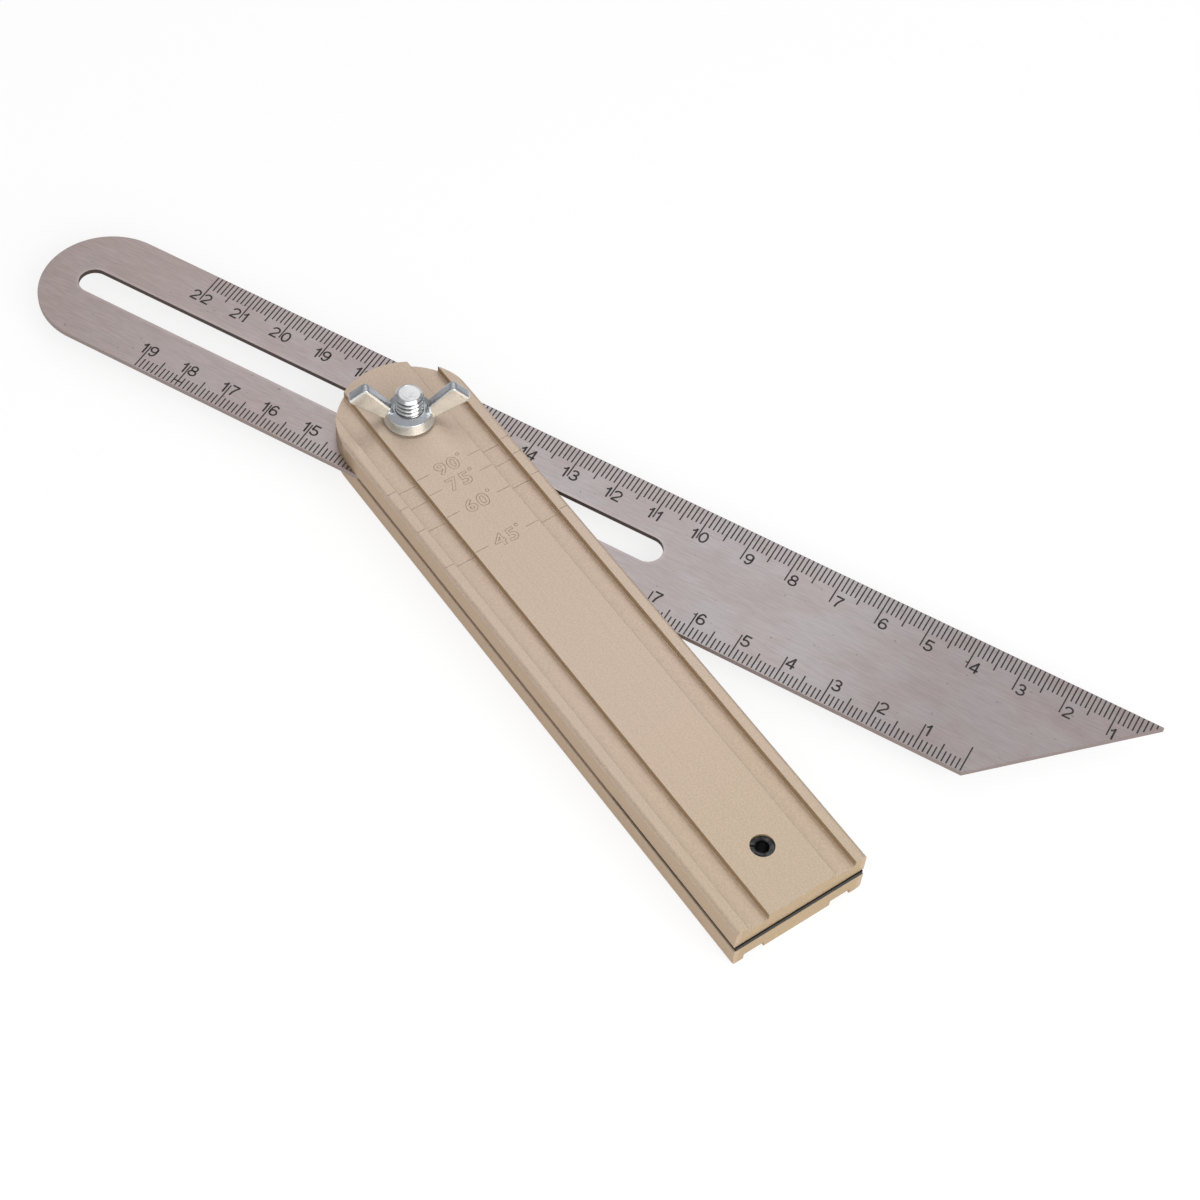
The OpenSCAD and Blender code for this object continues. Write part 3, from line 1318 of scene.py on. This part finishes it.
@dataclass
class Blade:
    """The slotted sheet and its two scales."""

    half_width: float = 15 * MM
    low: float = 5.05 * MM
    thickness: float = 1.2 * MM
    tip: float = 162.56 * MM
    heel: float = -89.87 * MM
    slot_radius: float = 3.25 * MM
    slot_low: float = -78.75 * MM
    slot_high: float = 55.95 * MM
    broken_edge: float = 0.1 * MM
    tip_radius: float = 0.2 * MM
    stroke: float = 0.3 * MM
    figure_stroke: float = 0.4 * MM
    rise: float = 0.008 * MM
    upper_zero: float = 163.1 * MM
    lower_zero: float = 132.05 * MM
    upper_ticks: tuple[float, float, float] = (3.87 * MM, 5.17 * MM, 7.42 * MM)
    lower_ticks: tuple[float, float, float] = (2.72 * MM, 4.05 * MM, 6.25 * MM)
    figure_height: float = 2.8 * MM
    upper_figures: float = 6.98 * MM
    lower_figures: float = -11.05 * MM
    lower_start: float = 0.15 * MM
    tens_gap: float = 0.5 * MM
    ones_gap: float = 0.25 * MM
    one_gap: float = 0.3 * MM
    upper_gap: float = 0.6 * MM
    lower_gap: float = 0.35 * MM

    def sheet(self, material: bpy.types.Material) -> None:
        """Models the sheet: round heel, slanted point and slot."""
        top = self.low + self.thickness
        start = self.heel + self.half_width
        piece = Bench.tongue("blade_sheet", self.half_width, self.low, top, start, self.tip)
        with Bench.opened(piece):
            Bench.pick(
                piece,
                Pick.POINTS,
                lambda ends: ends[0].x > self.tip - NEAR and ends[0].y < 0,
            )
            bpy.ops.transform.translate(value=(-2 * self.half_width, 0, 0))
            Bench.pick(
                piece,
                Pick.EDGES,
                lambda ends: all(p.x > self.tip - NEAR and p.y > 0 for p in ends),
            )
            offset = self.tip_radius / math.tan(math.radians(22.5))
            bpy.ops.mesh.bevel(offset=offset, segments=4, affect="EDGES")
        slot = Bench.oblong(
            "slot_cutter", self.slot_radius, self.low - SPARE, top + SPARE,
            self.slot_low, self.slot_high,
        )
        Bench.carve(piece, slot)
        Bench.soften(piece, self.broken_edge)
        Bench.dress(piece, Body.BLADE, "blade_steel", material, ["blade"])

    def tick(self, zero: float, mark: int, length: float, upper: bool) -> bpy.types.Object:
        """Makes one etched tick from the blade's edge in.

        Args:
            zero: The scale's zero along X.
            mark: The millimetre that it stands at.
            length: The tick's length.
            upper: Whether it is on the upper edge.

        Returns:
            The tick.
        """
        top = self.low + self.thickness
        at = zero - mark * MM
        edge = self.half_width - self.broken_edge
        low, high = (edge - length, edge) if upper else (self.lower_start - edge, length - edge)
        half = self.stroke / 2
        corner = (at - half, low, top - self.rise)
        return Bench.block("tick", corner, (at + half, high, top + self.rise))

    def row(
        self, zero: float, first: int, count: int, step: int, length: float, upper: bool
    ) -> bpy.types.Object:
        """Makes a row of equal ticks.

        Args:
            zero: The scale's zero along X.
            first: The first tick's millimetre.
            count: How many ticks there are.
            step: The millimetres from one to the next.
            length: The ticks' length.
            upper: Whether they are on the upper edge.

        Returns:
            The row.
        """
        piece = self.tick(zero, first, length, upper)
        Bench.repeat(piece, count, -step * MM)
        return piece

    def slip(self, at: float, across: float, half: float) -> bpy.types.Object:
        """Makes a short stray line that the etching left across a tick.

        Args:
            at: Its middle along X.
            across: Its place along Y.
            half: Half its length.

        Returns:
            The line.
        """
        top = self.low + self.thickness
        side = self.stroke / 2
        low = (at - half, across - side, top - self.rise)
        return Bench.block("tick", low, (at + half, across + side, top + self.rise))

    def ticks(self) -> list[bpy.types.Object]:
        """Makes the ticks of both scales."""
        short, medium, long = self.upper_ticks
        rows = []
        for mark in range(2, 6):
            rows.append(self.row(self.upper_zero, mark, 1, 1, (mark - 1) * MM, True))
        for digit in range(1, 5):
            rows.append(self.row(self.upper_zero, digit + 5, 43, 5, short, True))
        rows.append(self.row(self.upper_zero, 15, 21, 10, medium, True))
        rows.append(self.row(self.upper_zero, 10, 22, 10, long, True))
        short, medium, long = self.lower_ticks
        for digit in range(1, 5):
            rows.append(self.row(self.lower_zero, digit, 38, 5, short, False))
        rows.append(self.row(self.lower_zero, 5, 19, 10, medium, False))
        rows.append(self.row(self.lower_zero, 0, 20, 10, long, False))
        rows.append(self.slip(self.lower_zero - 180 * MM, -13.5 * MM, 0.95 * MM))
        rows.append(self.slip(self.upper_zero - 40.3 * MM, 8.8 * MM, 0.3 * MM))
        rows.append(self.slip(self.lower_zero - 60.3 * MM, -9.2 * MM, 0.3 * MM))
        return rows

    def number(
        self, glyphs: dict[str, bpy.types.Object], value: int, zero: float, floor: float, gap: float
    ) -> list[bpy.types.Object]:
        """Places a number beside its centimetre tick.

        Args:
            glyphs: The ten figures.
            value: The number.
            zero: The scale's zero along X.
            floor: The foot of the figures along Y.
            gap: The gap from the tick to a single figure.

        Returns:
            The number's figures.
        """
        at = zero - 10 * value * MM
        top = self.low + self.thickness + self.rise
        if value < 10:
            return [Bench.copy(glyphs[str(value)], (at + gap, floor, top))]
        tens, ones = str(value)
        start = at - self.tens_gap - Lettering.width(glyphs[tens])
        return [
            Bench.copy(glyphs[tens], (start, floor, top)),
            Bench.copy(glyphs[ones], (at + self.ones_gap, floor, top)),
        ]

    def scales(self, material: bpy.types.Material) -> None:
        """Models the ticks and numbers of both scales."""
        ticks = Bench.join("scale_ticks", self.ticks())
        Bench.dress(ticks, Body.BLADE, "blade_steel", material)
        glyphs = {
            figure: Lettering.drawn(
                f"figure_{figure}", strokes, self.figure_height, self.figure_stroke
            )
            for figure, strokes in FIGURES.items()
        }
        numbers = []
        for value in range(1, 23):
            gap = self.one_gap if value == 1 else self.upper_gap
            numbers += self.number(glyphs, value, self.upper_zero, self.upper_figures, gap)
        for value in range(1, 20):
            numbers += self.number(
                glyphs, value, self.lower_zero, self.lower_figures, self.lower_gap
            )
        for glyph in glyphs.values():
            bpy.data.objects.remove(glyph)
        piece = Bench.join("scale_numbers", numbers)
        Bench.dress(piece, Body.BLADE, "blade_steel", material)


@dataclass
class ClampBolt:
    """The keyed bolt with its rolled thread."""

    head_radius: float = 6 * MM
    head_height: float = 2.4 * MM
    shoulder_radius: float = 4 * MM
    shoulder_top: float = 5 * MM
    flat_width: float = 6.3 * MM
    flat_top: float = 6.25 * MM
    thread_radius: float = 3 * MM
    thread_depth: float = 0.5 * MM
    pitch: float = 1.15 * MM
    top: float = 19.2 * MM
    chamfer: float = 0.7 * MM
    sides: int = 72
    rings_a_turn: int = 14
    most_cuts: int = 99
    overlap: float = 0.2 * MM
    head_edge: float = 0.25 * MM
    key_edge: float = 0.08 * MM
    key_play: float = 0.02 * MM
    crest_flat: float = 0.12
    flank_share: float = 0.72

    def foot(self) -> bpy.types.Object:
        """Models the head and the shoulder from one rod, by inset and extrude.

        Returns:
            The head with its shoulder.
        """
        piece = Bench.rod("bolt_foot", self.head_radius, 0, self.head_height)
        with Bench.opened(piece):
            Bench.pick(
                piece, Pick.FACES, lambda ends: all(p.z > self.head_height - NEAR for p in ends)
            )
            bpy.ops.mesh.inset(thickness=self.head_radius - self.shoulder_radius)
            rise = self.shoulder_top - self.head_height
            bpy.ops.mesh.extrude_region_move(TRANSFORM_OT_translate={"value": (0, 0, rise)})
        Bench.soften(piece, self.head_edge)
        return piece

    def key(self) -> bpy.types.Object:
        """Models the part with two flats that slides in the blade's slot.

        Returns:
            The keyed part.
        """
        low = self.shoulder_top - self.overlap
        piece = Bench.rod("bolt_key", self.shoulder_radius - self.key_play, low, self.flat_top)
        reach = 2 * self.shoulder_radius
        half = self.flat_width / 2
        span = Bench.block(
            "flats", (-reach, -half, low - SPARE), (reach, half, self.flat_top + SPARE)
        )
        Bench.carve(piece, span, "INTERSECT")
        Bench.soften(piece, self.key_edge)
        return piece

    def thread(self) -> bpy.types.Object:
        """Models the threaded shank as a rod whose rings follow the helix.

        Returns:
            The shank.
        """
        low = self.flat_top - self.overlap
        turns = (self.top - low) / self.pitch
        piece = Bench.rod("bolt_thread", self.thread_radius, low, self.top, 0, self.sides)
        with Bench.opened(piece):
            Bench.pick(
                piece, Pick.EDGES, lambda ends: abs(ends[0].z - ends[1].z) > self.pitch
            )
            cuts = int(turns * self.rings_a_turn)
            bpy.ops.mesh.subdivide(number_cuts=min(cuts, self.most_cuts))
            if cuts > self.most_cuts:
                Bench.pick(
                    piece, Pick.EDGES, lambda ends: abs(ends[0].z - ends[1].z) > NEAR
                )
                bpy.ops.mesh.subdivide(number_cuts=1)
        for vertex in piece.data.vertices:
            self.follow_helix(vertex)
        with Bench.opened(piece):
            Bench.pick(piece, Pick.FACES, lambda ends: all(p.z > self.top - NEAR for p in ends))
            bpy.ops.mesh.inset(thickness=0.25 * MM)
            Bench.step(-0.06 * MM)
            bpy.ops.mesh.inset(thickness=0.5 * MM)
            Bench.step(0.05 * MM)
        Bench.smooth(piece, 50)
        return piece

    def thread_band(self) -> tuple[float, float, float]:
        """Gives the radii and the height between which the thread's roots get painted shade.

        Returns:
            The radius where they are darkest, the radius where they are unshaded, and the top.
        """
        root = self.thread_radius - 0.9 * self.thread_depth
        return root, self.thread_radius - 0.1 * MM, self.top - self.chamfer

    def follow_helix(self, vertex: bpy.types.MeshVertex) -> None:
        """Moves a point of the shank in to the thread's profile.

        Args:
            vertex: The point.
        """
        angle = math.atan2(vertex.co.y, vertex.co.x) / (2 * math.pi)
        phase = (vertex.co.z / self.pitch - angle) % 1
        slope = abs(2 * phase - 1)
        groove = min(1.0, max(0.0, (slope - self.crest_flat) / self.flank_share))
        radius = self.thread_radius - self.thread_depth * groove
        below = self.top - vertex.co.z
        if below < self.chamfer:
            radius = min(radius, self.thread_radius - (self.chamfer - below))
        scale = radius / math.hypot(vertex.co.x, vertex.co.y)
        vertex.co.x *= scale
        vertex.co.y *= scale

    def build(self, material: bpy.types.Material) -> None:
        """Joins the bolt's parts."""
        piece = Bench.join("keyed_bolt", [self.foot(), self.key(), self.thread()])
        Bench.dress(piece, Body.BOLT, "zinc_plate", material, ["clamp_bolt"])


@dataclass
class WingNut:
    """The die-cast wing nut."""

    floor: float = 11.3 * MM
    base_radius: float = 5.4 * MM
    top_radius: float = 4.65 * MM
    boss_height: float = 3.3 * MM
    shoulder: float = 2.75 * MM
    neck_radius: float = 4.4 * MM
    neck_height: float = 0.5 * MM
    bore_radius: float = 2.75 * MM
    direction: float = 34
    thickness: float = 2.4 * MM
    bevel: float = 0.5 * MM
    cell: float = 0.12 * MM
    foot: tuple[float, float] = (4.4 * MM, 0.35 * MM)
    tip: tuple[float, float] = (12.72 * MM, 6.62 * MM)
    crest: tuple[float, float] = (8.75 * MM, 10.55 * MM)
    root: tuple[float, float] = (3.6 * MM, 4.2 * MM)
    ring_flat: float = 0.5 * MM
    corner_round: float = 1.1 * MM
    drill_top: float = 12 * MM
    kept_faces: float = 0.4

    def boss(self) -> bpy.types.Object:
        """Models the tapered boss with its neck and its sloped top ring.

        Returns:
            The boss, on the plane z = 0.
        """
        Bench.clear()
        bpy.ops.mesh.primitive_cone_add(
            vertices=96,
            radius1=self.base_radius,
            radius2=self.top_radius,
            depth=self.shoulder - self.neck_height,
            location=(0, 0, (self.shoulder + self.neck_height) / 2),
        )
        piece = Bench.keep("cast_wing_nut")
        with Bench.opened(piece):
            Bench.pick(
                piece, Pick.FACES, lambda ends: all(p.z < self.neck_height + NEAR for p in ends)
            )
            bpy.ops.mesh.inset(thickness=self.base_radius - self.neck_radius)
            bpy.ops.mesh.extrude_region_move(
                TRANSFORM_OT_translate={"value": (0, 0, -self.neck_height)}
            )
            Bench.pick(
                piece, Pick.FACES, lambda ends: all(p.z > self.shoulder - NEAR for p in ends)
            )
            bpy.ops.mesh.inset(thickness=self.top_radius - self.bore_radius - self.ring_flat)
            bpy.ops.transform.translate(value=(0, 0, self.boss_height - self.shoulder))
        return piece

    def wing(self, side: int) -> bpy.types.Object:
        """Models one wing from a block whose corners are drawn out.

        Args:
            side: 1 or -1, for the side of the boss.

        Returns:
            The wing.
        """
        half = self.thickness / 2
        piece = Bench.block("wing", (-1, -half, -1), (1, half, 1))
        corners = {(-1, -1): self.foot, (1, -1): self.tip, (1, 1): self.crest, (-1, 1): self.root}
        for vertex in piece.data.vertices:
            reach, height = corners[(round(vertex.co.x), round(vertex.co.z))]
            vertex.co.x = side * reach
            vertex.co.z = height
        with Bench.opened(piece):
            bpy.ops.mesh.select_all(action="SELECT")
            bpy.ops.mesh.normals_make_consistent(inside=False)
            Bench.pick(
                piece,
                Pick.EDGES,
                lambda ends: abs(ends[0].y - ends[1].y) > half
                and all(abs(p.x) > self.foot[0] + SPARE for p in ends),
            )
            bpy.ops.mesh.bevel(offset=self.corner_round, segments=5, affect="EDGES")
            Bench.pick(piece, Pick.EDGES, lambda ends: abs(ends[0].y - ends[1].y) < NEAR)
            bpy.ops.mesh.bevel(offset=self.bevel, segments=2, affect="EDGES")
        return piece

    def build(self, material: bpy.types.Material) -> None:
        """Casts the wings and the boss in one, with soft joins."""
        piece = self.boss()
        for side in (-1, 1):
            Bench.carve(piece, self.wing(side), "UNION")
        Bench.carve(piece, Bench.rod("drill", self.bore_radius, -SPARE, self.drill_top))
        Bench.modify(piece, "REMESH", mode="VOXEL", voxel_size=self.cell)
        Bench.modify(piece, "SMOOTH", factor=0.5, iterations=5)
        Bench.modify(piece, "DECIMATE", ratio=self.kept_faces)
        Bench.smooth(piece, 60)
        Bench.settle(piece, self.direction, self.floor)
        Bench.dress(piece, Body.WING_NUT, "zinc_plate", material, ["wing_nut"])


@dataclass(frozen=True)
class Softbox:
    """One square soft lamp."""

    name: str
    place: Point
    target: Point
    size: float
    watts: float

    def hang(self) -> None:
        """Hangs the lamp so that it faces its target."""
        lamp = bpy.data.lights.new(self.name, "AREA")
        lamp.shape = "SQUARE"
        lamp.size = self.size
        lamp.energy = self.watts
        holder = bpy.data.objects.new(self.name, lamp)
        bpy.context.scene.collection.objects.link(holder)
        holder.location = self.place
        aim = Vector(self.target) - Vector(self.place)
        holder.rotation_euler = aim.to_track_quat("-Z", "Y").to_euler()


@dataclass
class Studio:
    """The white table, the soft lamps and the camera."""

    floor_height: float = -0.05 * MM
    floor_size: float = 20.0
    horizon: float = 0.26
    zenith: float = 0.58
    zenith_from: float = 0.8
    camera_place: Point = (0.17857, -0.28832, 0.42511)
    camera_right: Point = (0.870734, 0.488257, 0.058542)
    camera_down: Point = (0.428186, -0.694243, -0.578518)
    camera_forward: Point = (-0.241823, 0.528803, -0.813566)
    lens: float = 78.204
    table_shade: float = 0.74
    glow: float = 1.13
    seen_share: float = 0.7
    mirrored_share: float = 0.38
    softboxes: tuple[Softbox, ...] = (
        Softbox("back_softbox", (-0.2, 0.66, 0.95), (0.03, -0.02, 0), 0.9, 1.42),
        Softbox("front_softbox", (0.35, -0.85, 0.45), (0.03, -0.02, 0), 0.7, 1.8),
        Softbox("right_softbox", (0.71, -0.32, 0.45), (0.05, -0.03, 0), 0.7, 5.9),
    )

    def floor(self) -> None:
        """Adds the white table, which keeps the object's shadow."""
        Bench.clear()
        bpy.ops.mesh.primitive_plane_add(size=self.floor_size, location=(0, 0, self.floor_height))
        table = Bench.keep("table")
        graph = Graph("white_table")
        shade = Graph.opaque((self.table_shade,) * 3)
        diffuse = graph.node("ShaderNodeBsdfDiffuse", {}, {"Color": shade})
        light = {"Color": (1, 1, 1, 1), "Strength": self.glow}
        glow = graph.node("ShaderNodeEmission", {}, light)
        path = graph.node("ShaderNodeLightPath", {}, {})
        seen = Signal(graph, path.outputs["Is Camera Ray"]) * self.seen_share
        for ray in ("Is Glossy Ray", "Is Transmission Ray"):
            seen = seen.at_least(Signal(graph, path.outputs[ray]) * self.mirrored_share)
        mixed = graph.node(
            "ShaderNodeMixShader",
            {},
            {0: seen, 1: diffuse.outputs["BSDF"], 2: glow.outputs["Emission"]},
        )
        graph.tree.links.new(mixed.outputs["Shader"], graph.output.inputs["Surface"])
        table.data.materials.append(graph.material)

    def world(self) -> None:
        """Sets a plain grey surround, dark at the horizon and light overhead."""
        world = bpy.data.worlds.new("studio")
        world.use_nodes = True
        bpy.context.scene.world = world
        tree = world.node_tree
        tree.nodes.clear()
        output = tree.nodes.new("ShaderNodeOutputWorld")
        light = tree.nodes.new("ShaderNodeBackground")
        light.inputs["Color"].default_value = (1, 1, 1, 1)
        source = tree.nodes.new("ShaderNodeTexCoord")
        split = tree.nodes.new("ShaderNodeSeparateXYZ")
        level = tree.nodes.new("ShaderNodeMapRange")
        level.inputs["From Min"].default_value = 0.0
        level.inputs["From Max"].default_value = self.zenith_from
        level.inputs["To Min"].default_value = self.horizon
        level.inputs["To Max"].default_value = self.zenith
        tree.links.new(source.outputs["Generated"], split.inputs["Vector"])
        tree.links.new(split.outputs["Z"], level.inputs["Value"])
        tree.links.new(level.outputs["Result"], light.inputs["Strength"])
        tree.links.new(light.outputs["Background"], output.inputs["Surface"])

    def camera(self) -> None:
        """Sets the camera where the photograph was taken from."""
        lens = bpy.data.cameras.new("view")
        lens.lens = self.lens
        lens.sensor_width = 36
        lens.clip_start = 0.01
        holder = bpy.data.objects.new("view", lens)
        bpy.context.scene.collection.objects.link(holder)
        right = Vector(self.camera_right)
        up = -Vector(self.camera_down)
        back = -Vector(self.camera_forward)
        turn = Matrix((right, up, back)).transposed().to_4x4()
        holder.matrix_world = Matrix.Translation(self.camera_place) @ turn
        bpy.context.scene.camera = holder

    def build(self) -> None:
        """Sets the whole studio."""
        self.floor()
        self.world()
        for softbox in self.softboxes:
            softbox.hang()
        self.camera()
        bpy.context.scene.view_settings.view_transform = "Standard"


def main() -> None:
    """Builds every piece in order, then the studio."""
    bpy.context.view_layer.objects.active = None
    blade = Blade()
    handle = Handle()
    satin = AnodisedSatin(
        "anodised_satin",
        -handle.turn,
        2 * handle.thickness + handle.gap,
        handle.reach - handle.upper_short,
        (handle.plateau_edge, handle.channel_edge),
    ).material()
    scribed = DarkMetal("scribed_line", (0.27, 0.19, 0.15), 0.6, 0.5).material()
    etched = DarkMetal("etched_black", (0.03, 0.027, 0.027), 0.2, 0.6).material()
    oiled = DarkMetal("oiled_steel", (0.011, 0.0095, 0.009), 0.8, 0.45).material()
    blackened = DarkMetal("blackened_steel", (0.05, 0.05, 0.052), 0.9, 0.36, 0.6).material()
    bolt = ClampBolt()
    zinc = ZincPlate("zinc_plate", thread=bolt.thread_band()).material()
    # painted light and shade: the nut's level faces darker blue-grey, its upright faces a lighter
    # grey
    cast = ZincPlate(
        "cast_zinc",
        colour=(0.50, 0.52, 0.555),
        upright=(0.80, 0.83, 0.80),
        roughness=0.2,
        pit_cells=1500,
        pit_depth=0.028 * MM,
        metallic=0.8,
    ).material()
    brushed = BrushedBlade(
        "brushed_blade", blade.slot_low, blade.slot_high, blade.slot_radius
    ).material()
    handle.upper(satin)
    handle.lower(satin)
    handle.pin(blackened)
    handle.marks(scribed)
    handle.spacer(oiled)
    blade.sheet(brushed)
    blade.scales(etched)
    bolt.build(zinc)
    WingNut().build(cast)
    Studio().build()
    log.info("all pieces built")


if __name__ == "__main__":
    main()
